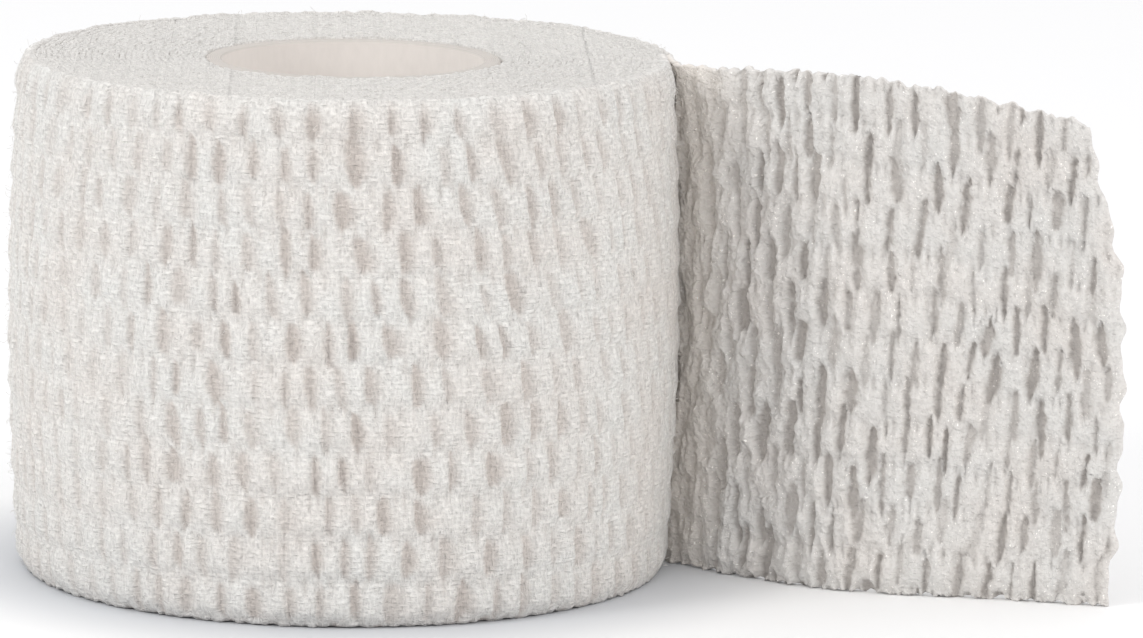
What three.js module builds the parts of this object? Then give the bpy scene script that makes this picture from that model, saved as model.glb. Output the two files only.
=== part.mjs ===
// Stretch tape roll: a puckered elastic cloth tape with an adhesive inner face, wound on a
// card core. The roll stands on one end face. Its outer end is peeled off, turns away from
// the roll at the right and stands free on its lower edge.
// Millimetres, +Z up. The floor is at z = 0, and +X runs towards the loose end.
import * as THREE from "three";

// Driving dimensions
const tapeWidth = 50;
const rollRadius = 32.65; // middle of the relief, at half height, behind the loose end
const turnThickness = 0.58;
const puckerRows = 12;
const puckersPerTurn = 60;
const barrel = 0.9; // how far the middle of the roll stands out past its rims
const rimRounding = 1.5;
const rimCutBack = 0.9; // the face stops this far short of its radius at each rim
const rimHeight = 0.5; // and this far from the end face
const faceSag = 0.2; // the upper end face falls this far from the core to its rim
const faceCrinkle = 0.18; // the turns' edges stand up and down by this
const stepGap = THREE.MathUtils.degToRad(0.6); // where the outline's turn ends, at the step
const grooveAngle = THREE.MathUtils.degToRad(14); // the room for the loose end fades out over this

const coreBore = 25.4;
const coreWall = 1.6;
const coreRecess = 0.3; // the core stops this far below the roll's upper face
const coreOffset = { x: 0.47, y: -0.18 }; // the winding is a little off centre on its core

const peelAngle = THREE.MathUtils.degToRad(5); // where the last turn leaves the roll
const looseThickness = 1.2;
const loosePuckers = 17;
const rootPuckers = 1.5; // the loose end's puckers grow to full height over this many
const clearance = 0.3; // between pieces

// Reliefs, from the middle surface to a crest or into a valley
const rollRelief = 0.32;
const looseRelief = 0.3;
const seamPinch = 0.14; // the cloth is drawn in along each seam between two rows
const seamUnevenness = 0.04;
const crestUnevenness = 0.35; // share of the relief by which crests and valleys differ

// Plan and height of the loose end, from its root at the roll to its cut edge
const looseSections = [
  { x: 32.02, y: 2.55, top: 49.5 },
  { x: 32.25, y: 1.75, top: 49.3 },
  { x: 33.7, y: 0.1, top: 49.2 },
  { x: 36.3, y: -3.1, top: 49.3 },
  { x: 41.3, y: -7.9, top: 49.9 },
  { x: 47.0, y: -11.6, top: 50.1 },
  { x: 55.0, y: -14.1, top: 49.3 },
  { x: 63.6, y: -15.9, top: 47.8 },
  { x: 73.0, y: -18.55, top: 45.8 },
];

// How far the cut edge stands beyond the last section at each height
const cutEdge = [
  { z: 0, beyond: 0 },
  { z: 6, beyond: 0.7 },
  { z: 18, beyond: 1.15 },
  { z: 28, beyond: 0.95 },
  { z: 36, beyond: 0.6 },
  { z: 42, beyond: -0.9 },
  { z: 46, beyond: -2.1 },
];

// A repeatable number from -1 to 1 for each pair of whole numbers
function uneven(a, b) {
  const wave = Math.sin(a * 12.9898 + b * 78.233) * 43758.5453;
  return 2 * (wave - Math.floor(wave)) - 1;
}

function smooth(value) {
  return THREE.MathUtils.smoothstep(value, 0, 1);
}

// A value read from a table by straight lines between its rows
function between(table, key, at, name) {
  let last = table[0];
  for (const row of table) {
    if (row[key] >= at) {
      const span = row[key] - last[key];
      const share = span > 0 ? (at - last[key]) / span : 0;
      return last[name] + share * (row[name] - last[name]);
    }
    last = row;
  }
  return last[name];
}

// Heights across the cloth from 0 to 1: each row of puckers has its two seams and its middle
function clothLevels() {
  const levels = [];
  for (let i = 0; i <= 2 * puckerRows; i += 1) {
    levels.push(i / (2 * puckerRows));
  }
  return levels;
}

// Relief of the puckered cloth: crests and valleys take turns along each row, every second
// row is shifted by half a pucker, and the seams between the rows are drawn in
function pucker(column, level, height) {
  if (level % 2 === 0) {
    return -seamPinch + seamUnevenness * uneven(column, level);
  }
  const row = (level - 1) / 2;
  const crest = (column + row) % 2 === 0 ? 1 : -1;
  return height * (crest + crestUnevenness * uneven(column, row));
}

// Triangles of a grid of points that joins up in its second direction, and in its first one
// too when it is a ring. An open grid is closed by caps that pair each side's levels.
function gridSolid(columns, ring) {
  const count = columns.length;
  const around = columns[0].length;
  const index = [];
  const steps = ring ? count : count - 1;
  const quad = (a, b, c, d) => index.push(a, b, c, a, c, d);
  for (let i = 0; i < steps; i += 1) {
    const next = (i + 1) % count;
    for (let j = 0; j < around; j += 1) {
      const up = (j + 1) % around;
      quad(i * around + j, next * around + j, next * around + up, i * around + up);
    }
  }
  if (!ring) {
    const last = (count - 1) * around;
    for (let j = 0; j < around / 2 - 1; j += 1) {
      const far = around - 1 - j;
      quad(j, j + 1, far - 1, far);
      quad(last + j, last + far, last + far - 1, last + j + 1);
    }
  }
  const geometry = new THREE.BufferGeometry();
  geometry.setAttribute("position", new THREE.Float32BufferAttribute(columns.flat(2), 3));
  geometry.setIndex(index);
  geometry.computeVertexNormals();
  return geometry;
}

// Radius of the roll's middle surface. The outline is one turn of a spiral, and where the
// last turn has left it drops by the thickness of the loose end and its clearance.
function rollRadiusAt(turned, height) {
  const spiral = turnThickness * turned;
  const groove = looseThickness + clearance - turnThickness;
  const pastPeel = (1 - turned) * 2 * Math.PI;
  const dip = groove * (1 - smooth(pastPeel / grooveAngle));
  return rollRadius - spiral - dip - barrel * (2 * height - 1) ** 2;
}

// The wound cloth: an upright ring with its bore, puckered face, rounded rims and the step
// where the last turn leaves it
function woundRoll() {
  const columnCount = 2 * puckersPerTurn + 1;
  const boreRadius = coreBore / 2 + coreWall + clearance;
  const levels = clothLevels();
  const faceRings = [0, 0.3, 0.7];
  const columns = [];
  for (let i = 0; i < columnCount; i += 1) {
    const turned = i / (columnCount - 1);
    const angle = peelAngle + stepGap / 2 + turned * (2 * Math.PI - stepGap);
    const fade = smooth(Math.min(i, columnCount - 1 - i) / 4);
    const outward = (radius, z, centred) => [
      radius * Math.cos(angle) + centred * coreOffset.x,
      radius * Math.sin(angle) + centred * coreOffset.y,
      z,
    ];
    const rimRadius = rollRadiusAt(turned, 0) - rimRounding;
    const faceRing = (share, z) =>
      outward(boreRadius + share * (rimRadius - boreRadius), z, 1 - share);
    const profile = faceRings.map((share) => faceRing(share, 0));
    profile.push(outward(rimRadius, 0, 0));
    for (let j = 0; j < levels.length; j += 1) {
      const atRim = j === 0 || j === levels.length - 1;
      const cutBack = atRim ? rimCutBack : 0;
      const z = THREE.MathUtils.clamp(levels[j] * tapeWidth, rimHeight, tapeWidth - rimHeight);
      const relief = atRim ? 0 : fade * pucker(i % (columnCount - 1), j, rollRelief);
      profile.push(outward(rollRadiusAt(turned, levels[j]) - cutBack + relief, z, 0));
    }
    profile.push(outward(rimRadius, tapeWidth, 0));
    for (const share of faceRings.toReversed()) {
      const crinkle = share > 0 ? faceCrinkle * uneven(i, Math.round(10 * share)) : 0;
      profile.push(faceRing(share, tapeWidth - faceSag * share + crinkle));
    }
    columns.push(profile);
  }
  return gridSolid(columns, true);
}

// The peeled end: a sheet of even thickness on an upright curved surface, its puckers seen
// on both faces, its lower edge on the floor and its cut edge bowed
function looseEnd() {
  const plan = new THREE.CatmullRomCurve3(
    looseSections.map((s) => new THREE.Vector3(s.x, s.y, 0)),
    false,
    "centripetal",
  );
  plan.arcLengthDivisions = 400;
  const heights = new THREE.CatmullRomCurve3(
    looseSections.map((s) => new THREE.Vector3(s.x, s.top, 0)),
    false,
    "centripetal",
  );
  const fullLength = plan.getLength();
  const levels = clothLevels();
  const stations = 2 * loosePuckers;
  const columns = [];
  for (let i = 0; i <= stations; i += 1) {
    const share = i / stations;
    const rootFade = smooth((i - 1) / (2 * rootPuckers));
    const front = [];
    const back = [];
    for (let j = 0; j < levels.length; j += 1) {
      const cut = between(cutEdge, "z", levels[j] * tapeWidth, "beyond");
      const along = share * (1 + cut / fullLength);
      const within = Math.min(along, 1);
      const onPlan = plan.getPointAt(within);
      const tangent = plan.getTangentAt(within);
      onPlan.addScaledVector(tangent, (along - within) * fullLength);
      const top = heights.getPointAt(within).y;
      const level = levels[j];
      const bulge = -barrel * (2 * level - 1) ** 2 * (1 - smooth(share / 0.25));
      const onEdge = j === 0 || j === levels.length - 1;
      const relief = onEdge ? 0 : rootFade * pucker(i, j, looseRelief);
      for (const [side, points] of [[-0.5, front], [0.5, back]]) {
        const off = side * looseThickness + relief + bulge;
        points.push([onPlan.x - off * tangent.y, onPlan.y + off * tangent.x, level * top]);
      }
    }
    columns.push([...front, ...back.toReversed()]);
  }
  return gridSolid(columns, false);
}

// The card tube that the tape is wound on, its two ends square
function coreTube() {
  const inner = coreBore / 2;
  const outer = inner + coreWall;
  const height = tapeWidth - coreRecess;
  const profile = [
    [inner, 0],
    [outer, 0],
    [outer, height],
    [inner, height],
    [inner, 0],
  ];
  const points = profile.map(([radius, z]) => new THREE.Vector2(radius, z));
  const geometry = new THREE.LatheGeometry(points, 72);
  geometry.rotateX(Math.PI / 2);
  return geometry;
}

function piece(name, geometry, colour, roughness) {
  const material = new THREE.MeshStandardMaterial({ color: colour, roughness, metalness: 0 });
  const mesh = new THREE.Mesh(geometry, material);
  mesh.name = name;
  return mesh;
}

const roll = new THREE.Group();
roll.add(piece("wound_roll", woundRoll(), "#e9e6e1", 0.95));
roll.add(piece("loose_end", looseEnd(), "#d9d6d2", 0.8));
const core = piece("core_tube", coreTube(), "#dfd5cc", 0.85);
core.position.set(coreOffset.x, coreOffset.y, 0);
roll.add(core);

// The origin is on the floor, under the middle of the whole outline
const outline = new THREE.Box3().setFromObject(roll);
const middle = outline.getCenter(new THREE.Vector3());
roll.position.set(-middle.x, -middle.y, 0);

export default roll;
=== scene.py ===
import math

import bpy
import numpy as np
from mathutils import Matrix, Vector


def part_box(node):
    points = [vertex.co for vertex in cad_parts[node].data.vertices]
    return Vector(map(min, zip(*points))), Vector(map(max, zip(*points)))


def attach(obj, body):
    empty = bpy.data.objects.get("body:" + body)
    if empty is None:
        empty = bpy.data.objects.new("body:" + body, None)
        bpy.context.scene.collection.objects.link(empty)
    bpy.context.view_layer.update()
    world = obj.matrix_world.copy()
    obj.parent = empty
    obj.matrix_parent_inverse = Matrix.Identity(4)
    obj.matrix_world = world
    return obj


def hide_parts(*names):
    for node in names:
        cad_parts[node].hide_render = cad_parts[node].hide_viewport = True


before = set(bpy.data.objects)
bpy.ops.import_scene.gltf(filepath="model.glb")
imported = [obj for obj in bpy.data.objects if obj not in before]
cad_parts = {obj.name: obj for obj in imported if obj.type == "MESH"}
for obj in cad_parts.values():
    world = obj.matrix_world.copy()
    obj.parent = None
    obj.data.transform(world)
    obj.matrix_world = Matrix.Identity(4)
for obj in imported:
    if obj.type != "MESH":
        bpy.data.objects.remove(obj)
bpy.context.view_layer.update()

mm = 0.001

# The tape, in millimetres. The last turn leaves the roll at peelDegrees, counted from +X.
tape = {
    "width": 50.0,
    "rollRadius": 32.9,
    "turn": 0.58,
    "barrel": 0.95,
    "peelDegrees": 5.0,
    "rows": 12,
    "rollPitch": 3.3,       # one pucker, along the tape
    "loosePitch": 2.75,
    "looseThickness": 1.1,
}
coreOffset = Vector((0.47, -0.18)) * mm   # the winding is a little off centre on its core
coreLow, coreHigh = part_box("core_tube")
coreCentre = (coreLow + coreHigh) / 2
rollAxis = coreCentre.xy - coreOffset


# A node's output socket. Sums and products of it add Math nodes.
class Wire:
    def __init__(self, tree, socket=None):
        self.tree = tree
        self.socket = socket

    def node(self, kind, settings=None, inputs=None, output=0):
        made = self.tree.nodes.new(kind)
        for name, value in (settings or {}).items():
            setattr(made, name, value)
        for name, value in (inputs or {}).items():
            if isinstance(value, Wire):
                self.tree.links.new(value.socket, made.inputs[name])
            else:
                made.inputs[name].default_value = value
        return Wire(self.tree, made.outputs[output])

    def math(self, operation, *values):
        return self.node("ShaderNodeMath", {"operation": operation}, dict(enumerate(values)))

    def __add__(self, other):
        return self.math("ADD", self, other)

    def __sub__(self, other):
        return self.math("SUBTRACT", self, other)

    def __rsub__(self, other):
        return self.math("SUBTRACT", other, self)

    def __mul__(self, other):
        return self.math("MULTIPLY", self, other)

    def __truediv__(self, other):
        return self.math("DIVIDE", self, other)

    def __rtruediv__(self, other):
        return self.math("DIVIDE", other, self)

    def __pow__(self, other):
        return self.math("POWER", self, other)

    __radd__ = __add__
    __rmul__ = __mul__

    def floor(self):
        return self.math("FLOOR", self)

    def size(self):
        return self.math("ABSOLUTE", self)

    def atLeast(self, low):
        return self.math("MAXIMUM", self, low)

    def atMost(self, high):
        return self.math("MINIMUM", self, high)

    # 0 below start, 1 above end, smooth between
    def rise(self, start, end):
        settings = {"interpolation_type": "SMOOTHSTEP"}
        return self.node("ShaderNodeMapRange", settings, {0: self, 1: start, 2: end})

    def vector(self, x, y, z):
        return self.node("ShaderNodeCombineXYZ", None, {0: x, 1: y, 2: z})

    # smooth noise round 0, from about -0.5 to 0.5
    def noise(self, x, y, z, detail=0.0):
        inputs = {"Vector": self.vector(x, y, z), "Scale": 1.0, "Detail": detail}
        return self.node("ShaderNodeTexNoise", None, inputs) - 0.5

    # three numbers from 0 to 1 for each set of whole numbers
    def chance(self, x, y, z):
        settings = {"noise_dimensions": "3D"}
        inputs = {"Vector": self.vector(x, y, z)}
        colour = self.node("ShaderNodeTexWhiteNoise", settings, inputs, "Color")
        return [self.node("ShaderNodeSeparateXYZ", None, {0: colour}, i) for i in range(3)]


# The puckers of each face, in millimetres where nothing else is said
rollPuckers = {
    "seed": 3,
    "height": 0.6,          # from a valley's floor to a crest
    "gap": 0.28,            # the floor of a common valley
    "flank": 1.25,          # from a valley's floor to the flat of its crest
    "skew": 0.5,            # how much steeper a crest is on its left
    "crisp": 0.4,           # 0 for soft valleys, 1 for valleys with sharp sides
    "long": 1.05,           # rows that a common valley is long
    "longSpread": 0.35,     # and by how much that differs
    "shallow": 0.45,        # how much less deep the least valley is
    "ragged": 0.2,          # how far the outline of a valley strays
    "rowStray": 0.16,       # how far the rows stray from level, in rows
    "stagger": 0.12,        # and each valley from the middle of its row
    "lean": 0.45,           # cells that a valley leans in one row, at most
    "leanAll": -0.12,       # and all of them together
    "bulge": 0.6,           # how far a crest hangs over, low in its row
    "bulgeSpread": 0.7,     # and the share by which that differs
    "seamDip": 0.1,         # how deep a seam lies
    "pleats": 2.4,          # pleats in one crest's width, at each seam
    "pleatDepth": 0.24,
    "tips": 0.26,           # rows that the longest pleats reach over a seam
    "folds": 0.26,          # upright folds on the crests
    "foldLength": 5.0,
    "lumps": 0.14,          # height of the lumps on the crests
    "grain": 0.0,           # and of the finer ones
}
adhesivePuckers = {
    "seed": 11,
    "height": 0.85,
    "gap": 0.4,
    "flank": 0.95,
    "skew": 0.0,
    "crisp": 0.85,
    "long": 1.4,
    "longSpread": 0.7,
    "shallow": 0.4,
    "ragged": 0.9,
    "rowStray": 0.7,
    "stagger": 0.5,
    "lean": 0.5,
    "leanAll": 0.0,
    "bulge": 0.2,
    "bulgeSpread": 1.0,
    "seamDip": 0.15,
    "pleats": 2.6,
    "pleatDepth": 0.3,
    "tips": 0.25,
    "folds": 0.9,
    "foldLength": 10.0,
    "lumps": 0.75,
    "grain": 0.42,
}


# Relief and hollows of puckered cloth. cells counts the puckers along the tape, across is the
# place over its width and pitch the length of one pucker.
def puckerTerms(start, cells, across, pitch, sizes):
    rowHeight = tape["width"] / tape["rows"]
    seed = sizes["seed"]
    along = cells * pitch
    even = across / rowHeight + sizes["rowStray"] * start.noise(cells * 0.25, seed, 0.0, 1.0)

    # pleats cross each seam: the crests below it reach up with pointed tips
    seam = (even + 0.5).floor()
    fromSeam = even - seam
    nearSeam = 1 - 4 * fromSeam * fromSeam
    pleatPlace = cells * sizes["pleats"] + start.chance(seam, seed, 80.0)[0]
    pleatPlace = pleatPlace + 1.5 * start.noise(cells * 1.3, seam * 3.1, seed + 3.5)
    pleat = (pleatPlace + 0.5).floor()
    deep, tall, _ = start.chance(pleat, seam, seed + 90)
    tip = 1 - 2 * (pleatPlace - pleat).size()
    rows = even - sizes["tips"] * tip * (0.1 + 0.9 * tall) * nearSeam
    gather = (1 - tip.rise(0.0, 0.7)) * nearSeam ** 3 * (0.3 + 0.7 * deep)

    row = rows.floor()
    inRow = rows - row - 0.5
    flow = 1.6 * start.noise(cells * 0.12, across * 0.02, seed + 30.5)
    tilt = sizes["lean"] * start.noise(cells * 0.07, across * 0.03, seed + 12.5) + sizes["leanAll"]
    ragged = sizes["ragged"] * start.noise(along * 1.7, across * 1.1, seed + 90.5, 2.0)

    # the valleys of one row: lenses with soft sides, each between two crests
    def valleysOf(row, inRow):
        warp = start.noise(cells * 0.55, row * 7.0, seed + 0.5)
        lean = start.noise(cells * 0.4, row * 5.0, seed + 9.5) * sizes["lean"] + tilt
        rowShift = 0.5 * row + 0.35 * start.chance(row, seed, 40.0)[0]
        place = cells + flow + rowShift + 1.1 * warp + lean * inRow
        border = (place + 0.5).floor()
        wide, wander, high = start.chance(border, row, seed)
        long, deep, _ = start.chance(border, row, seed + 20)
        reach = 0.5 * (sizes["long"] + sizes["longSpread"] * (long - 0.5))
        end = (inRow - sizes["stagger"] * (high - 0.5) + 0.3 * ragged) / reach
        lens = (1 - end * end).atLeast(0.0)
        aside = place - border + 0.14 * (wander - 0.5)
        away = aside.size() * pitch + ragged
        half = 0.5 * sizes["gap"] * (0.15 + 1.7 * wide) * lens
        steep = 1 - sizes["skew"] * aside.math("SIGN", aside)
        flank = sizes["flank"] * steep * (0.25 + 0.75 * lens)
        climb = ((away - half) / flank).atLeast(0.0).atMost(1.0)
        sharp = 1 - (1 - climb) * (1 - climb)
        soft = climb * climb * (3 - 2 * climb)
        side = soft + (sharp - soft) * sizes["crisp"]
        swollen = start.chance(place.floor(), row, seed + 60)[0]
        depth = (lens * 2.2).atMost(1.0) * (1 - sizes["shallow"] * deep)
        return (1 - side) * depth, swollen

    beyond = inRow.math("SIGN", inRow)
    valley, swollen = valleysOf(row, inRow)
    nextValley, _ = valleysOf(row + beyond, inRow - beyond)
    valley = valley.math("SMOOTH_MAX", valley, nextValley, 0.1)
    crest = 1 - valley

    up = inRow + 0.5
    bulge = up.rise(0.0, 0.36) * (1 - up ** 1.5) * (1 + sizes["bulgeSpread"] * (swollen - 0.5))
    folds = start.noise(along * 0.7, across / sizes["foldLength"], seed + 50.5, 1.0)
    lumps = start.noise(along * 1.3, across * 1.0, seed + 70.5, 2.0)
    grain = start.noise(along * 3.2, across * 2.4, seed + 75.5, 1.0)
    relief = (
        sizes["height"] * (crest - 0.65)
        + sizes["bulge"] * (bulge - 0.3) * crest
        - sizes["pleatDepth"] * gather * crest
        - sizes["seamDip"] * nearSeam ** 6
        + sizes["folds"] * folds
        + (sizes["lumps"] * lumps + sizes["grain"] * grain) * crest
    )
    return {
        "relief": relief,
        "valley": valley,
        "gather": gather * crest,
        "tip": tip * nearSeam ** 2,
    }


def attribute(start, name, kind="FLOAT"):
    if start.tree.type == "GEOMETRY":
        inputs = {"Name": name}
        return start.node("GeometryNodeInputNamedAttribute", {"data_type": kind}, inputs)
    output = "Vector" if kind == "FLOAT_VECTOR" else "Fac"
    return start.node("ShaderNodeAttribute", {"attribute_name": name}, None, output)


# How uneven a strip of tape is besides its puckers, in millimetres
uneven = {
    "rough": 0.32,          # both faces
    "fringe": 1.2,          # its edges on the roll
    "looseFringe": 1.0,     # and what the loose end's have more
    "floorGap": 0.15,       # how far the common pleat stops above the floor
}


# The tree that raises the puckers on a strip of tape
def puckerTree(name, sizes, innerSizes):
    tree = bpy.data.node_groups.new(name, "GeometryNodeTree")
    panel = tree.interface
    panel.new_socket("Geometry", in_out="INPUT", socket_type="NodeSocketGeometry")
    scale = panel.new_socket("Relief", in_out="INPUT", socket_type="NodeSocketFloat")
    scale.default_value = 1.0
    panel.new_socket("Material", in_out="INPUT", socket_type="NodeSocketMaterial")
    panel.new_socket("Inner Material", in_out="INPUT", socket_type="NodeSocketMaterial")
    panel.new_socket("Geometry", in_out="OUTPUT", socket_type="NodeSocketGeometry")
    start = Wire(tree)
    group = tree.nodes.new("NodeGroupInput")
    geometry, reliefScale, material, innerMaterial = [
        Wire(tree, group.outputs[i]) for i in range(4)
    ]
    cells = attribute(start, "cells")
    across = attribute(start, "across")
    pitch = attribute(start, "pitch")
    side = attribute(start, "side")
    strength = attribute(start, "strength")
    outer = puckerTerms(start, cells, across, pitch, sizes)
    inner = puckerTerms(start, cells, across, pitch, innerSizes)
    isOuter = side.rise(0.2, 0.8)
    isInner = (side * -1).rise(0.2, 0.8)
    relief = outer["relief"] * isOuter - inner["relief"] * isInner
    onEdge = 1 - side.size()
    edgeRelief = 0.5 * (outer["relief"] - inner["relief"] * attribute(start, "free")) * onEdge
    outward = attribute(start, "outward", "FLOAT_VECTOR")
    along = cells * pitch
    rough = uneven["rough"] * start.noise(along * 0.9, across * 1.2, 21.0, 2.0)
    rough = rough * (isOuter - isInner) * (strength * 12).atMost(1.0)
    amount = ((relief + edgeRelief) * strength + rough) * reliefScale * mm
    offset = start.node(
        "ShaderNodeVectorMath", {"operation": "SCALE"}, {0: outward, "Scale": amount}
    )
    # the cloth's edges are uneven: pleats stand out at the upper one and are short at the lower
    fringe = uneven["fringe"] + uneven["looseFringe"] * attribute(start, "free")
    fringe = start.noise(along * 0.7, 3.0, 7.0, 2.0) * fringe
    upper = attribute(start, "upperEdge") * fringe
    lower = attribute(start, "lowerEdge") * (fringe + uneven["floorGap"]).atLeast(0.0) * 0.9
    lift = start.vector(0.0, 0.0, (upper + lower) * mm)
    offset = start.node("ShaderNodeVectorMath", {"operation": "ADD"}, {0: offset, 1: lift})
    moved = start.node("GeometryNodeSetPosition", None, {"Geometry": geometry, "Offset": offset})
    # the material reads the valleys and pleats from the mesh
    for name in ("valley", "gather", "tip"):
        value = outer[name] * isOuter + inner[name] * isInner
        moved = start.node(
            "GeometryNodeStoreNamedAttribute",
            {"data_type": "FLOAT", "domain": "POINT"},
            {"Geometry": moved, "Name": name, "Value": value},
        )
    plain = start.node("GeometryNodeRealizeInstances", None, {0: moved})
    inputs = {"Geometry": plain, "Material": material}
    dressed = start.node("GeometryNodeSetMaterial", None, inputs)
    settings = {"data_type": "FLOAT", "operation": "LESS_THAN"}
    inward = start.node("FunctionNodeCompare", settings, {0: side, 1: -0.3})
    inputs = {"Geometry": dressed, "Selection": inward, "Material": innerMaterial}
    dressed = start.node("GeometryNodeSetMaterial", None, inputs)
    out = tree.nodes.new("NodeGroupOutput")
    tree.links.new(dressed.socket, out.inputs[0])
    return tree


# Runs a node tree on an object and puts a plain mesh in its place
def runTree(piece, tree, inputs):
    modifier = piece.modifiers.new(tree.name, "NODES")
    modifier.node_group = tree
    for item in tree.interface.items_tree:
        if item.in_out == "INPUT" and item.name in inputs:
            modifier[item.identifier] = inputs[item.name]
    graph = bpy.context.evaluated_depsgraph_get()
    mesh = bpy.data.meshes.new_from_object(piece.evaluated_get(graph))
    old = piece.data
    piece.modifiers.clear()
    piece.data = mesh
    bpy.data.meshes.remove(old)
    mesh.name = piece.name


def addObject(name, mesh):
    piece = bpy.data.objects.new(name, mesh)
    bpy.context.scene.collection.objects.link(piece)
    return piece


# Plan of the loose end, in millimetres from the roll's axis, and the height of its upper edge
loosePlan = [
    {"x": 32.30, "y": 2.05, "top": 49.6},
    {"x": 32.75, "y": 1.30, "top": 49.5},
    {"x": 33.7, "y": 0.1, "top": 49.3},
    {"x": 36.3, "y": -3.1, "top": 49.4},
    {"x": 41.3, "y": -7.9, "top": 49.9},
    {"x": 47.0, "y": -11.6, "top": 50.1},
    {"x": 55.0, "y": -14.1, "top": 49.3},
    {"x": 63.6, "y": -15.9, "top": 47.8},
    {"x": 73.0, "y": -18.55, "top": 45.8},
]
# How far the cut edge stands beyond the plan's end at each height
cutEdge = [(0, 0.0), (2.5, 0.2), (6, 0.7), (10, 0.9), (18, 1.15), (24, 1.15), (28, 0.95),
           (32, 0.8), (36, 0.6), (39, -0.2), (43, -1.1), (46, -2.1), (50, -2.6)]


# A smooth line through rows of numbers. It starts at the second row: the first sets its slope.
def smoothLine(rows, perStretch=60):
    points = np.array(rows, float)
    gaps = np.linalg.norm(np.diff(points[:, :2], axis=0), axis=1)
    at = np.concatenate([[0], np.cumsum(gaps)])
    slopes = np.gradient(points, at, axis=0)
    line = []
    for i in range(1, len(points) - 1):
        share = np.linspace(0, 1, perStretch, endpoint=False)[:, None]
        step = at[i + 1] - at[i]
        a, b = points[i], points[i + 1]
        da, db = slopes[i] * step, slopes[i + 1] * step
        line.append(
            (2 * share**3 - 3 * share**2 + 1) * a
            + (share**3 - 2 * share**2 + share) * da
            + (3 * share**2 - 2 * share**3) * b
            + (share**3 - share**2) * db
        )
    line.append(points[-1:])
    return np.concatenate(line)


# Where the middle of the tape runs: x, y, outward normal and upper edge for each distance
# along it, which is 0 at the peel and negative on the roll
def tapePath(along):
    peel = math.radians(tape["peelDegrees"])
    radius = tape["rollRadius"] - tape["turn"] / 2

    def onRoll(s):
        angle = peel - s / radius
        r = radius + tape["turn"] * s / (2 * math.pi * radius)
        return r * np.cos(angle), r * np.sin(angle), np.cos(angle), np.sin(angle)

    before = [(*onRoll(s)[:2], tape["width"]) for s in (-0.8, 0.0)]
    rows = before + [(row["x"], row["y"], row["top"]) for row in loosePlan]
    line = smoothLine(rows)
    steps = np.linalg.norm(np.diff(line[:, :2], axis=0), axis=1)
    lengths = np.concatenate([[0], np.cumsum(steps)])
    tangents = np.gradient(line[:, :2], lengths, axis=0)
    tangents /= np.linalg.norm(tangents, axis=1)[:, None]
    tangents[0] = (np.sin(peel), -np.cos(peel))
    x, y, nx, ny = onRoll(along)
    top = np.full_like(along, tape["width"])
    free = along > 0
    s = np.minimum(along, lengths[-1])[free]
    past = along[free] - s
    tx, ty = [np.interp(s, lengths, tangents[:, i]) for i in range(2)]
    x[free] = np.interp(s, lengths, line[:, 0]) + past * tx
    y[free] = np.interp(s, lengths, line[:, 1]) + past * ty
    top[free] = np.interp(s, lengths, line[:, 2])
    nx[free], ny[free] = -ty, tx
    return x, y, nx, ny, top, lengths[-1]


# The polygons that close an end of a strip, each one step of the face with fewer levels high
def endCap(ring, outerCount, innerCount):
    outer, inner = ring[:outerCount], ring[-2:outerCount:-1]
    steps = min(outerCount, innerCount) - 1
    outerStep, innerStep = (outerCount - 1) // steps, (innerCount - 1) // steps
    polygons = [[outer[-1], ring[outerCount], inner[-1]], [inner[0], ring[-1], outer[0]]]
    for i in range(steps):
        rising = outer[i * outerStep:(i + 1) * outerStep + 1]
        falling = inner[i * innerStep:(i + 1) * innerStep + 1][::-1]
        polygons.append(rising + falling)
    return polygons


# The strips of tape, in millimetres
strip = {
    "edge": 0.12,           # each edge's middle stands this far past its faces
    "swelling": 6.0,        # the loose end reaches its thickness over this length
    "straightening": 12.0,  # and loses the roll's barrel over this one
    "rim": 2.2,             # height over which the roll's rims curve in
    "rimInset": 0.4,
    "rimSink": 0.1,
    "behind": 0.45,         # the last turn reaches this far into the turns under it
    "edgeZone": 2.5,        # how much of the width an uneven edge takes up
    "fadeZone": 1.8,        # the relief fades out this near the upper rim
    "fadeShare": 0.75,      # by this share
    "cutFade": 1.1,         # and this near the cut
    "cutTaper": 0.35,       # where the tape is thinner
    "cutShare": 0.1,        # down to this share
}


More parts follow.
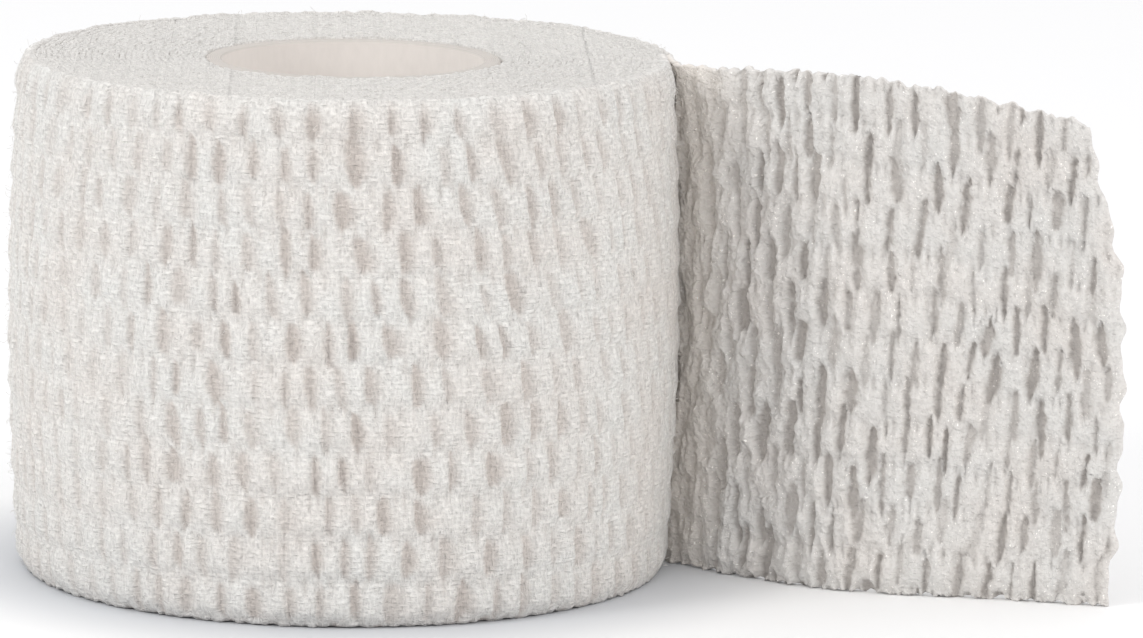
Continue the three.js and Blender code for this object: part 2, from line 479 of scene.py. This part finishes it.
# A closed strip of tape: its outer face, its inner face and a point on each edge between
def tapeStrip(name, stations, outerLevels, innerLevels, bowed):
    width = tape["width"]
    loop = [(v, 1.0) for v in outerLevels] + [(width + strip["edge"], 0.0)]
    loop += [(v, -1.0) for v in innerLevels[::-1]] + [(-strip["edge"], 0.0)]
    across = np.array([v for v, _ in loop])
    side = np.array([s for _, s in loop])
    count, around = len(stations), len(loop)
    along = np.repeat(stations[:, None], around, 1)
    if bowed:
        heights, beyond = zip(*cutEdge)
        ragged = 0.24 * np.sin(1.1 * across + 0.6) + 0.16 * np.sin(1.9 * across + 2.0)
        cut = (np.interp(across, heights, beyond) + ragged)[None, :]
        along = along * (1 + cut / stations[-1])
    flat = along.ravel()
    x, y, nx, ny, top, _ = tapePath(flat)
    acrossAll = np.tile(across, count)
    sideAll = np.tile(side, count)
    loose = np.clip(flat / strip["swelling"], 0, 1)
    thickness = tape["turn"] + (tape["looseThickness"] - tape["turn"]) * loose
    onRoll = 1 - np.clip(flat / strip["straightening"], 0, 1) ** 0.5
    toRim = np.clip(1 - (width - acrossAll) / strip["fadeZone"], 0, 1)
    fading = 1 - onRoll * strip["fadeShare"] * toRim
    if bowed:
        toCut = np.repeat(stations[-1] - stations, around)
        taper = np.sqrt(np.clip(toCut / strip["cutTaper"], 0, 1))
        thickness = thickness * (strip["cutShare"] + (1 - strip["cutShare"]) * taper)
        fading = fading * np.clip(toCut / strip["cutFade"] - 0.1, 0, 1)
    middle = 2 * acrossAll / width - 1
    rim = np.clip(1 - (width / 2 - np.abs(acrossAll - width / 2)) / strip["rim"], 0, 1)
    inset = (tape["barrel"] * middle**2 + strip["rimInset"] * rim**2) * onRoll
    behind = strip["behind"] * onRoll * (sideAll < 0)
    off = sideAll * thickness / 2 - inset - behind
    z = np.clip(acrossAll, 0, None) / width * top
    z -= strip["rimSink"] * rim**3 * onRoll * (acrossAll > width / 2)
    points = np.stack([x + nx * off, y + ny * off, z], 1) * mm
    points[:, 0] += rollAxis.x
    points[:, 1] += rollAxis.y
    grid = np.arange(count * around).reshape(count, around)
    right = np.roll(grid, -1, axis=1)
    quads = np.stack([grid[:-1], right[:-1], right[1:], grid[1:]], -1).reshape(-1, 4)
    ends = [endCap(grid[row].tolist(), len(outerLevels), len(innerLevels)) for row in (0, -1)]
    faces = quads.tolist() + [polygon[::-1] for polygon in ends[0]] + ends[1]
    mesh = bpy.data.meshes.new(name)
    mesh.from_pydata(points.tolist(), [], faces)
    rollCells = flat / tape["rollPitch"]
    looseCells = flat / tape["loosePitch"]
    angle = np.degrees(-flat / tape["rollRadius"])
    values = {
        "cells": np.where(flat < 0, rollCells, looseCells),
        "across": acrossAll,
        "side": sideAll,
        "pitch": np.where(flat < 0, tape["rollPitch"], tape["loosePitch"]),
        "strength": reliefStrength(flat, angle, sideAll) * fading,
        "free": np.clip(flat / 3, 0, 1),
        "lowerEdge": np.clip(1 - acrossAll / strip["edgeZone"], 0, 1),
        "upperEdge": np.clip(1 - (width - acrossAll) / strip["edgeZone"], 0, 1),
    }
    for key, numbers in values.items():
        mesh.attributes.new(key, "FLOAT", "POINT").data.foreach_set("value", numbers)
    outward = np.stack([nx, ny, np.zeros_like(nx)], 1).ravel()
    mesh.attributes.new("outward", "FLOAT_VECTOR", "POINT").data.foreach_set("vector", outward)
    mesh.shade_smooth()
    mesh.update()
    return addObject(name, mesh)


# The strength of the relief. It is weaker where the tape is pulled flatter, at the left and the
# right of the roll, and on the outer side of the loose end. turned is in degrees from the peel,
# counted backwards along the tape.
def reliefStrength(along, turned, side):
    places = [0, 40, 90, 140, 190, 215, 235, 255, 285, 305, 325, 365]
    shares = [0.4, 0.9, 1.0, 0.7, 0.45, 0.65, 0.95, 1.05, 1.0, 0.8, 0.5, 0.35]
    onRoll = np.interp(turned, places, shares)
    outside = np.interp(along, [0, 6], [0.7, 0.6])
    inside = np.interp(along, [0, 7, 12, 20, 28], [0.4, 0.9, 1.2, 1.15, 1.0])
    return np.where(along < 0, onRoll, np.where(side > 0, outside, inside))


def levels(count):
    return np.linspace(0, tape["width"], count)


def newMaterial(name):
    material = bpy.data.materials.new(name)
    material.use_nodes = True
    return material, Wire(material.node_tree), material.node_tree.nodes["Principled BSDF"]


def plug(value, socket):
    value.tree.links.new(value.socket, socket)


def mixColours(start, share, first, second):
    settings = {"data_type": "RGBA"}
    return start.node("ShaderNodeMix", settings, {0: share, 6: first, 7: second}, 2)


def tinted(start, colour, factor):
    settings = {"operation": "SCALE"}
    return start.node("ShaderNodeVectorMath", settings, {0: colour, "Scale": factor})


# Bump from heights in millimetres
def bump(start, heights):
    inputs = {"Strength": 1.0, "Distance": mm, "Height": heights}
    return start.node("ShaderNodeBump", None, inputs)


# The woven face: level yarns lie over two or three upright ones, row by row, like bricks
def clothMaterial(name, look):
    material, start, shader = newMaterial(name)
    cells = attribute(start, "cells")
    across = attribute(start, "across")
    pitch = attribute(start, "pitch")
    valley, gather, tip = [attribute(start, kind) for kind in ("valley", "gather", "tip")]
    along = cells * pitch
    swayAlong = 0.9 * start.noise(along * 0.9, across * 0.7, 4.0, 1.0)
    swayAcross = 0.7 * start.noise(along * 0.8, across * 0.9, 6.0, 1.0)
    level = (across + swayAcross) / look["pickPitch"]
    pick = level.floor()
    brick = (along + swayAlong) / look["brick"] + 0.5 * pick
    inBrick = (brick.math("FRACT", brick) - 0.5).size()
    inLevel = 2 * level.math("FRACT", level) - 1
    chance = start.chance(brick.floor(), pick, 5.0)[0]
    over = (1 - inBrick.rise(0.22, 0.44)) * (0.15 + 0.85 * chance)
    floats = over * (1 - inLevel * inLevel)
    upright = ((along + swayAlong) / look["endPitch"]) * 2 * math.pi
    ends = (0.5 + 0.5 * upright.math("COSINE", upright)) * (1 - over)
    weave = floats + 0.6 * ends
    levelFibre = start.noise(along * 1.5, across * 5.5, 1.0, 2.0)
    uprightFibre = start.noise(along * 5.5, across * 1.6, 3.0, 2.0)
    fibre = levelFibre.math("MAXIMUM", levelFibre, uprightFibre)
    fluff = start.noise(along * 2.2, across * 2.0, 2.0, 3.0)
    height = (
        look["weaveHeight"] * weave
        + look["fibreHeight"] * fibre
        + look["fluffHeight"] * fluff
    )
    # the valleys and the grooves between pleats get a darker colour: painted shade in the hollows,
    # with the warm tint of the threads there
    hollowTintAndShade = valley.rise(look["hollowFrom"], 1.0)
    hollowTintAndShade = (hollowTintAndShade + gather * look["gatherShade"]) * attribute(start, "strength")
    hollowTintAndShade = hollowTintAndShade.atMost(1.0)
    # the weave and fibres vary the colour: partly the yarns' own tone, partly painted fine shade
    # between them
    shade = 1 + look["yarnShade"] * (weave - 0.5) + look["fibreShade"] * (fibre + fluff)
    # pale pleat tips at the seams: painted highlight
    shade = shade + 0.06 * tip
    # glints: lower roughness there, and a brighter base colour as a painted highlight
    sparkle = start.noise(along * 4.6, across * 3.0, 9.0, 1.0).rise(0.15, 0.22) * look["sparkle"]
    sparkle = sparkle * start.noise(along * 0.5, across * 0.4, 15.0, 1.0).rise(-0.1, 0.12)
    roughness = look["roughness"] - 0.4 * sparkle
    shade = shade * (1 + 0.35 * sparkle)
    blush = start.noise(along * 0.12, across * 0.12, 12.0, 2.0).rise(-0.2, 0.25)
    base = mixColours(start, blush, look["cool"], look["warm"])
    base = mixColours(start, hollowTintAndShade, base, look["hollowTintAndShade"])
    # near the roll the adhesive face gets a lighter, warmer colour: painted light lifting the
    # shade beside the roll
    if "root" in look:
        base = mixColours(start, along.rise(3.0, look["rootLightEnd"]), look["root"], base)
    plug(tinted(start, base, shade), shader.inputs["Base Color"])
    plug(bump(start, height), shader.inputs["Normal"])
    plug(roughness, shader.inputs["Roughness"])
    shader.inputs["Specular IOR Level"].default_value = look["specular"]
    return material


clothLook = {
    "cool": (0.79, 0.785, 0.765, 1),
    "warm": (0.785, 0.755, 0.725, 1),
    # the valleys' colour: painted shade plus the threads' warm tint
    "hollowTintAndShade": (0.61, 0.56, 0.525, 1),
    "hollowFrom": 0.0,
    "gatherShade": 0.4,
    "roughness": 0.95,
    "endPitch": 0.42,
    "pickPitch": 0.5,
    "brick": 1.3,
    "weaveHeight": 0.1,
    "fibreHeight": 0.34,
    "fluffHeight": 0.2,
    "yarnShade": 0.16,
    "fibreShade": 0.5,
    "sparkle": 0.0,
    "specular": 0.2,
}
adhesiveLook = {
    "cool": (0.75, 0.74, 0.72, 1),
    "warm": (0.76, 0.73, 0.70, 1),
    # the slots' colour: painted shade on their floors
    "hollowTintAndShade": (0.50, 0.47, 0.445, 1),
    # painted warm light near the roll, fading out along the tape
    "root": (0.83, 0.785, 0.735, 1),
    "rootLightEnd": 11.0,
    "hollowFrom": 0.25,
    "gatherShade": 0.35,
    "roughness": 0.55,
    "endPitch": 0.5,
    "pickPitch": 0.6,
    "brick": 1.3,
    "weaveHeight": 0.02,
    "fibreHeight": 0.16,
    "fluffHeight": 0.5,
    "yarnShade": 0.03,
    "fibreShade": 0.12,
    "sparkle": 1.6,
    "specular": 0.45,
}
clothOuter = clothMaterial("clothOuter", clothLook)
clothAdhesive = clothMaterial("clothAdhesive", adhesiveLook)

# The wound turns under the last one, in millimetres: one spiral strip whose edges show
turns = {
    "innerRadius": 14.6,
    "outerRadius": 30.8,
    "pitch": 0.53,
    "stations": 12200,
    "edgePoints": 8,
    "crinkle": 0.26,       # how far the edges wander in and out
    "fray": 0.5,           # how far they stand up and down
    "rimRise": 0.3,        # the last turns stand a little higher
    "rimWidth": 2.2,       # over this width
    "bevel": 0.6,          # half the thickness of a turn's rounded edge, in turns
    "topGap": 0.12,        # from the tape's width down to the common edge
    "bottomGap": 0.1,
}


def turnsTree():
    tree = bpy.data.node_groups.new("woundTurns", "GeometryNodeTree")
    panel = tree.interface
    named = {
        "Inner Radius": turns["innerRadius"],
        "Outer Radius": turns["outerRadius"],
        "Turn": turns["pitch"],
        "Width": tape["width"],
        "Crinkle": turns["crinkle"],
        "Fray": turns["fray"],
        "Rim Rise": turns["rimRise"],
        "Axis X": rollAxis.x / mm,
        "Axis Y": rollAxis.y / mm,
        "Core X": coreOffset.x / mm,
        "Core Y": coreOffset.y / mm,
    }
    panel.new_socket("Geometry", in_out="INPUT", socket_type="NodeSocketGeometry")
    for name, value in named.items():
        socket = panel.new_socket(name, in_out="INPUT", socket_type="NodeSocketFloat")
        socket.default_value = value
    panel.new_socket("Stations", in_out="INPUT", socket_type="NodeSocketInt").default_value = 100
    panel.new_socket("Edge Points", in_out="INPUT", socket_type="NodeSocketInt").default_value = 8
    panel.new_socket("Material", in_out="INPUT", socket_type="NodeSocketMaterial")
    panel.new_socket("Geometry", in_out="OUTPUT", socket_type="NodeSocketGeometry")
    start = Wire(tree)
    group = tree.nodes.new("NodeGroupInput")
    given = {socket.name: Wire(tree, socket) for socket in group.outputs if socket.name}
    points = given["Edge Points"] + 1
    grid = start.node(
        "GeometryNodeMeshGrid",
        None,
        {"Size X": 1.0, "Size Y": 1.0, "Vertices X": given["Stations"], "Vertices Y": points},
    )
    position = start.node("GeometryNodeInputPosition")
    share, profileShare, _ = [
        start.node("ShaderNodeSeparateXYZ", None, {0: position}, i) + 0.5 for i in range(3)
    ]
    inner, outer = given["Inner Radius"], given["Outer Radius"]
    radius = (inner * inner + (outer * outer - inner * inner) * share) ** 0.5
    angle = math.radians(tape["peelDegrees"]) + 2 * math.pi * (outer - radius) / given["Turn"]
    along = (radius * radius - inner * inner) * math.pi / given["Turn"]
    turnIndex = ((radius - inner) / given["Turn"]).floor()
    profile = (profileShare + 0.5 / turns["edgePoints"]) * 2 * math.pi
    upper = profile.math("SINE", profile)
    isTop = upper.math("GREATER_THAN", upper, 0.0)
    ends = (share * 2000).atMost(1.0) * ((1 - share) * 2000).atMost(1.0)
    bevel = turns["bevel"] * given["Turn"]
    offset = profile.math("COSINE", profile) * bevel * ends
    x0 = radius * angle.math("COSINE", angle)
    y0 = radius * angle.math("SINE", angle)
    wander = start.noise(x0 * 0.5, y0 * 0.5, isTop * 9.0, 1.0)
    ripple = start.noise(along * 0.8, turnIndex * 2.9, isTop * 9.0 + 4.0, 1.0)
    inside = ((outer - radius) / 0.8).atMost(1.0)
    radial = radius + offset + given["Crinkle"] * (1.6 * wander + 1.8 * ripple) * inside
    rough = start.noise(x0 * 1.2, y0 * 1.2, isTop * 5.0, 2.0)
    broad = start.noise(x0 * 0.2, y0 * 0.2, isTop * 5.0 + 2.0)
    nearRim = ((radius - outer) / turns["rimWidth"] + 1).atLeast(0.0)
    lift = given["Fray"] * (1.3 * rough + broad)
    top = given["Width"] - turns["topGap"] + lift + given["Rim Rise"] * nearRim * nearRim
    bottom = turns["bottomGap"] + lift.size() * 0.8
    high = top - 0.5 * bevel + 0.5 * bevel * upper
    low = bottom + bevel + bevel * upper
    z = low + (high - low) * isTop
    centred = ((outer - radius) / (outer - inner)).atLeast(0.0)
    placed = start.vector(
        (given["Axis X"] + given["Core X"] * centred + radial * angle.math("COSINE", angle)) * mm,
        (given["Axis Y"] + given["Core Y"] * centred + radial * angle.math("SINE", angle)) * mm,
        z * mm,
    )
    stored = start.node("GeometryNodeSetPosition", None, {"Geometry": grid, "Position": placed})
    marks = {"along": along, "turnIndex": turnIndex, "edge": upper.size()}
    for name, value in marks.items():
        stored = start.node(
            "GeometryNodeStoreNamedAttribute",
            {"data_type": "FLOAT", "domain": "POINT"},
            {"Geometry": stored, "Name": name, "Value": value},
        )
    closed = start.node("GeometryNodeMergeByDistance", None, {0: stored, "Distance": 0.00001})
    smooth = start.node("GeometryNodeSetShadeSmooth", None, {0: closed})
    plain = start.node("GeometryNodeRealizeInstances", None, {0: smooth})
    inputs = {"Geometry": plain, "Material": given["Material"]}
    dressed = start.node("GeometryNodeSetMaterial", None, inputs)
    out = tree.nodes.new("NodeGroupOutput")
    tree.links.new(dressed.socket, out.inputs[0])
    return tree


# deep: painted shade in the grooves between the turns
edgeLook = {"base": (0.82, 0.805, 0.78, 1), "deep": (0.66, 0.63, 0.60, 1)}


def edgeMaterial():
    material, start, shader = newMaterial("clothEdges")
    place = start.node("ShaderNodeTexCoord", None, None, "Object")
    x, y, z = [start.node("ShaderNodeSeparateXYZ", None, {0: place}, i) / mm for i in range(3)]
    along = attribute(start, "along")
    turnIndex = attribute(start, "turnIndex")
    edge = attribute(start, "edge")
    fibre = start.noise(x * 3.5, y * 3.5, z * 2.0, 3.0)
    tuft = start.noise(along * 1.8, turnIndex * 5.0, z * 1.5, 2.0)
    cloudy = start.noise(x * 1.1, y * 1.1, 3.0, 2.0)
    # the sides of each turn's rounded edge, between turns, are darker: painted shade
    deep = (1 - edge.rise(0.1, 0.8)) * 0.15
    base = mixColours(start, deep, edgeLook["base"], edgeLook["deep"])
    shade = 1 + 0.6 * fibre + 0.1 * tuft + 0.25 * cloudy
    plug(tinted(start, base, shade), shader.inputs["Base Color"])
    height = 0.4 * fibre + 0.2 * tuft + 0.2 * cloudy
    plug(bump(start, height), shader.inputs["Normal"])
    shader.inputs["Roughness"].default_value = 0.95
    shader.inputs["Specular IOR Level"].default_value = 0.2
    return material


# Loose fibres that stand off the cloth: millimetres, and fibres for each square millimetre
fuzz = {
    "faceDensity": 0.6,
    "edgeDensity": 1.0,
    "length": 0.6,
    "radius": 0.018,
    "seed": 5,
    "floorGap": 0.8,       # the face's fibres start this far above the floor
    "edgeDepth": 0.6,      # and the edges' this far below the tape's width
    "colour": (0.8, 0.785, 0.76, 1),
}


def fuzzTree():
    tree = bpy.data.node_groups.new("fuzz", "GeometryNodeTree")
    panel = tree.interface
    panel.new_socket("Geometry", in_out="INPUT", socket_type="NodeSocketGeometry")
    named = {"Density": 1.0, "Above": -1.0, "Length": 1.0, "Radius": 0.02}
    for name, value in named.items():
        socket = panel.new_socket(name, in_out="INPUT", socket_type="NodeSocketFloat")
        socket.default_value = value
    panel.new_socket("Seed", in_out="INPUT", socket_type="NodeSocketInt")
    panel.new_socket("Material", in_out="INPUT", socket_type="NodeSocketMaterial")
    panel.new_socket("Geometry", in_out="OUTPUT", socket_type="NodeSocketGeometry")
    start = Wire(tree)
    group = tree.nodes.new("NodeGroupInput")
    given = {socket.name: Wire(tree, socket) for socket in group.outputs if socket.name}
    length = given["Length"] * mm
    fibre = start.node(
        "GeometryNodeCurveQuadraticBezier",
        None,
        {
            "Resolution": 3,
            "Start": start.vector(0.0, 0.0, length * -0.1),
            "Middle": start.vector(length * 0.1, 0.0, length * 0.8),
            "End": start.vector(length * 0.8, length * 0.15, length * 0.75),
        },
    )
    inputs = {"Resolution": 3, "Radius": given["Radius"] * mm}
    profile = start.node("GeometryNodeCurvePrimitiveCircle", None, inputs)
    inputs = {"Curve": fibre, "Profile Curve": profile, "Fill Caps": True}
    hair = start.node("GeometryNodeCurveToMesh", None, inputs)
    position = start.node("GeometryNodeInputPosition")
    height = start.node("ShaderNodeSeparateXYZ", None, {0: position}, 2) / mm
    side = attribute(start, "side")    # -1 on the tape's inner face
    chosen = height.math("GREATER_THAN", height, given["Above"])
    chosen = chosen * side.math("GREATER_THAN", side, -0.4)
    inputs = {"Geometry": given["Geometry"], "Selection": chosen}
    upper = start.node("GeometryNodeSeparateGeometry", {"domain": "FACE"}, inputs)
    inputs = {"Mesh": upper, "Density": given["Density"] / (mm * mm), "Seed": given["Seed"]}
    points = start.node("GeometryNodeDistributePointsOnFaces", None, inputs)
    upright = Wire(tree, points.socket.node.outputs["Rotation"])
    spin = start.node(
        "FunctionNodeRandomValue",
        {"data_type": "FLOAT_VECTOR"},
        {"Min": (-0.9, -0.9, 0.0), "Max": (0.9, 0.9, 2 * math.pi), "Seed": given["Seed"]},
    )
    turn = start.node("FunctionNodeEulerToRotation", None, {0: spin})
    settings = {"rotation_space": "LOCAL"}
    rotation = start.node("FunctionNodeRotateRotation", settings, {0: upright, 1: turn})
    size = start.node(
        "FunctionNodeRandomValue",
        {"data_type": "FLOAT"},
        {"Min": 0.35, "Max": 1.3, "Seed": given["Seed"] + 1},
        "Value",
    )
    inputs = {"Points": points, "Instance": hair, "Rotation": rotation, "Scale": size}
    hairs = start.node("GeometryNodeInstanceOnPoints", None, inputs)
    plain = start.node("GeometryNodeRealizeInstances", None, {0: hairs})
    inputs = {"Geometry": plain, "Material": given["Material"]}
    dressed = start.node("GeometryNodeSetMaterial", None, inputs)
    out = tree.nodes.new("NodeGroupOutput")
    tree.links.new(dressed.socket, out.inputs[0])
    return tree


def fuzzMaterial():
    material, _, shader = newMaterial("fibre")
    shader.inputs["Base Color"].default_value = fuzz["colour"]
    shader.inputs["Roughness"].default_value = 0.8
    return material


# The card core, in millimetres: a tube with softened edges
core = {
    "bore": 25.4,
    "wall": 1.6,
    "height": 49.7,
    "edge": 0.22,
    "segments": 160,
    "ply": 0.2,
    "colour": (0.83, 0.79, 0.755, 1),
    "endColour": (0.66, 0.62, 0.58, 1),
}


def coreTube():
    inner = core["bore"] / 2
    outer = inner + core["wall"]
    edge, high = core["edge"], core["height"]
    profile = []
    for centre, first in (((outer - edge, edge), -90), ((outer - edge, high - edge), 0),
                          ((inner + edge, high - edge), 90), ((inner + edge, edge), 180)):
        for step in range(4):
            turn = math.radians(first + 30 * step)
            profile.append((centre[0] + edge * math.cos(turn), centre[1] + edge * math.sin(turn)))
    count, around = core["segments"], len(profile)
    angles = np.linspace(0, 2 * math.pi, count, endpoint=False)
    x, y = coreCentre.xy
    points = [
        (x + r * math.cos(a) * mm, y + r * math.sin(a) * mm, z * mm)
        for a in angles
        for r, z in profile
    ]
    grid = np.arange(count * around).reshape(count, around)
    ahead = np.roll(grid, -1, axis=0)
    quads = np.stack([grid, ahead, np.roll(ahead, -1, 1), np.roll(grid, -1, 1)], -1)
    mesh = bpy.data.meshes.new("cardCore")
    mesh.from_pydata(points, [], quads.reshape(-1, 4).tolist())
    mesh.shade_smooth()
    return addObject("cardCore", mesh)


def cardMaterial():
    material, start, shader = newMaterial("coreCard")
    place = start.node("ShaderNodeTexCoord", None, None, "Object")
    x, y, z = [start.node("ShaderNodeSeparateXYZ", None, {0: place}, i) / mm for i in range(3)]
    fibre = start.noise(x * 1.5, y * 1.5, z * 0.6, 4.0)
    cloudy = start.noise(x * 0.12, y * 0.12, z * 0.1, 1.0)
    dx, dy = x - coreCentre.x / mm, y - coreCentre.y / mm
    radius = (dx * dx + dy * dy) ** 0.5
    plies = radius / core["ply"]
    lines = 0.5 + 0.5 * (plies * 2 * math.pi).math("COSINE", plies * 2 * math.pi)
    onEnd = z.rise(core["height"] - 0.25, core["height"] - 0.1)
    base = mixColours(start, onEnd * 0.9, core["colour"], core["endColour"])
    shade = 1 + 0.10 * fibre + 0.08 * cloudy - 0.12 * lines * onEnd
    plug(tinted(start, base, shade), shader.inputs["Base Color"])
    height = 0.05 * fibre - 0.04 * lines * onEnd
    plug(bump(start, height), shader.inputs["Normal"])
    shader.inputs["Roughness"].default_value = 0.85
    return material


# How finely the strips of tape are divided, along the tape and over its width
parts = {
    "back": 260,
    "front": 540,
    "levels": 120,
    "loose": 329,
    "outerLevels": 73,
    "innerLevels": 217,
    "hiddenLevels": 2,
}
tree = puckerTree("puckers", rollPuckers, adhesivePuckers)
turnLength = 2 * math.pi * tape["rollRadius"]
behind = np.linspace(-turnLength - 3, -turnLength / 2, parts["back"], endpoint=False)
stations = np.concatenate([behind, np.linspace(-turnLength / 2, 0, parts["front"])])
outerLevels, innerLevels = levels(parts["levels"]), levels(parts["hiddenLevels"])
outerTurn = tapeStrip("outerTurn", stations, outerLevels, innerLevels, False)
runTree(outerTurn, tree, {"Relief": 1.0, "Material": clothOuter, "Inner Material": clothOuter})
print("outer turn", len(outerTurn.data.polygons))

looseLength = tapePath(np.array([1.0]))[5]
stations = np.append(np.linspace(0, looseLength - 0.02, parts["loose"]), looseLength)
outerLevels, innerLevels = levels(parts["outerLevels"]), levels(parts["innerLevels"])
looseTape = tapeStrip("looseTape", stations, outerLevels, innerLevels, True)
runTree(looseTape, tree, {"Relief": 1.0, "Material": clothOuter, "Inner Material": clothAdhesive})
print("loose end", len(looseTape.data.polygons), round(looseLength, 2), "mm long")

woundTurns = addObject("woundTurns", bpy.data.meshes.new("woundTurns"))
runTree(woundTurns, turnsTree(), {
    "Stations": turns["stations"],
    "Edge Points": turns["edgePoints"],
    "Material": edgeMaterial(),
})
print("wound turns", len(woundTurns.data.polygons))

cardCore = coreTube()
cardCore.data.materials.append(cardMaterial())

fuzzNodes, fibreLook = fuzzTree(), fuzzMaterial()
faceFuzz = addObject("faceFuzz", outerTurn.data.copy())
edgeFuzz = addObject("edgeFuzz", woundTurns.data.copy())
for piece, density, above in (
    (faceFuzz, fuzz["faceDensity"], fuzz["floorGap"]),
    (edgeFuzz, fuzz["edgeDensity"], tape["width"] - fuzz["edgeDepth"]),
):
    runTree(piece, fuzzNodes, {
        "Density": density,
        "Above": above,
        "Length": fuzz["length"],
        "Radius": fuzz["radius"],
        "Seed": fuzz["seed"],
        "Material": fibreLook,
    })
    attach(piece, "root")
    print(piece.name, len(piece.data.polygons))

for piece, slot, node in (
    (outerTurn, "wound_cloth", "wound_roll"),
    (woundTurns, "wound_cloth", "wound_roll"),
    (looseTape, "loose_cloth", "loose_end"),
    (cardCore, "core_card", "core_tube"),
):
    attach(piece, "root")
    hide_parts(node)
looseLength * mm


# Camera, in the photo's view: millimetres from the roll's axis, and radians
view = {"x": 0.0, "y": -700.24, "z": 146.58, "yaw": 0.0314, "pitch": 0.1729, "roll": 0.014,
        "lens": 229.69}


def addCamera():
    yaw, pitch, roll = view["yaw"], view["pitch"], view["roll"]
    forward = Vector((math.sin(yaw) * math.cos(pitch), math.cos(yaw) * math.cos(pitch),
                      -math.sin(pitch)))
    level = Vector((math.cos(yaw), -math.sin(yaw), 0))
    upright = level.cross(forward)
    right = level * math.cos(roll) + upright * math.sin(roll)
    up = upright * math.cos(roll) - level * math.sin(roll)
    camera = bpy.data.cameras.new("photoCamera")
    camera.sensor_width = 36
    camera.lens = view["lens"]
    camera.clip_start = 0.01
    camera.clip_end = 20
    seen = addObject("photoCamera", camera)
    turn = Matrix((right, up, -forward)).transposed().to_4x4()
    place = Vector((rollAxis.x + view["x"] * mm, rollAxis.y + view["y"] * mm, view["z"] * mm))
    seen.matrix_world = Matrix.Translation(place) @ turn
    bpy.context.scene.camera = seen


def addLight(name, place, target, size, power, colour):
    light = bpy.data.lights.new(name, "AREA")
    light.shape = "DISK"
    light.size = size
    light.energy = power
    light.color = colour
    lamp = addObject(name, light)
    lamp.location = place
    lamp.rotation_euler = (Vector(target) - Vector(place)).to_track_quat("-Z", "Y").to_euler()


studio = {
    "floorReach": 6.0,                  # from the floor's middle to its sides, in metres
    "low": (0.48, 0.465, 0.455, 1),     # the sky's colour at the horizon
    "high": (1.12, 1.12, 1.13, 1),      # and overhead
    "floor": (0.96, 0.965, 0.97, 1),
    "shadow": (0.66, 0.68, 0.71, 1),    # painted shadow: the floor's colour where it meets the roll
    "shadowReach": 15.0,                # and how far out the painted shadow reaches, in millimetres
}
# Lights: place in metres, size, power in watts and colour
lights = [
    ("keyLight", (-0.62, -0.36, 0.42), 0.25, 1.7, (1.0, 0.99, 0.97)),
    ("fillLight", (0.62, -0.50, 0.3), 0.6, 1.6, (1.0, 0.955, 0.92)),
]


def floorMaterial():
    material, start, shader = newMaterial("paleFloor")
    place = start.node("ShaderNodeTexCoord", None, None, "Object")
    x, y, _ = [start.node("ShaderNodeSeparateXYZ", None, {0: place}, i) for i in range(3)]
    dx, dy = x - rollAxis.x, y - rollAxis.y
    away = (dx * dx + dy * dy) ** 0.5 / mm - tape["rollRadius"]
    # painted contact shadow: the floor is darker towards the roll's foot
    lit = away.rise(-3.0, studio["shadowReach"])
    shade = mixColours(start, lit, studio["shadow"], studio["floor"])
    plug(shade, shader.inputs["Base Color"])
    shader.inputs["Roughness"].default_value = 0.7
    return material


def addStudio():
    floor = bpy.data.meshes.new("studioFloor")
    far = studio["floorReach"]
    corners = [(-far, -far, 0), (far, -far, 0), (far, far, 0), (-far, far, 0)]
    floor.from_pydata(corners, [], [(0, 1, 2, 3)])
    floor.materials.append(floorMaterial())
    addObject("studioFloor", floor)
    world = bpy.data.worlds.new("softWorld")
    world.use_nodes = True
    start = Wire(world.node_tree)
    background = world.node_tree.nodes["Background"]
    place = start.node("ShaderNodeTexCoord", None, None, "Generated")
    height = start.node("ShaderNodeSeparateXYZ", None, {0: place}, 2)
    sky = mixColours(start, height.rise(0.0, 0.9), studio["low"], studio["high"])
    plug(sky, background.inputs["Color"])
    background.inputs["Strength"].default_value = 1.0
    bpy.context.scene.world = world
    target = (rollAxis.x, rollAxis.y, 0.025)
    for name, place, size, power, colour in lights:
        addLight(name, place, target, size, power, colour)
    bpy.context.scene.view_settings.view_transform = "Standard"


addCamera()
addStudio()
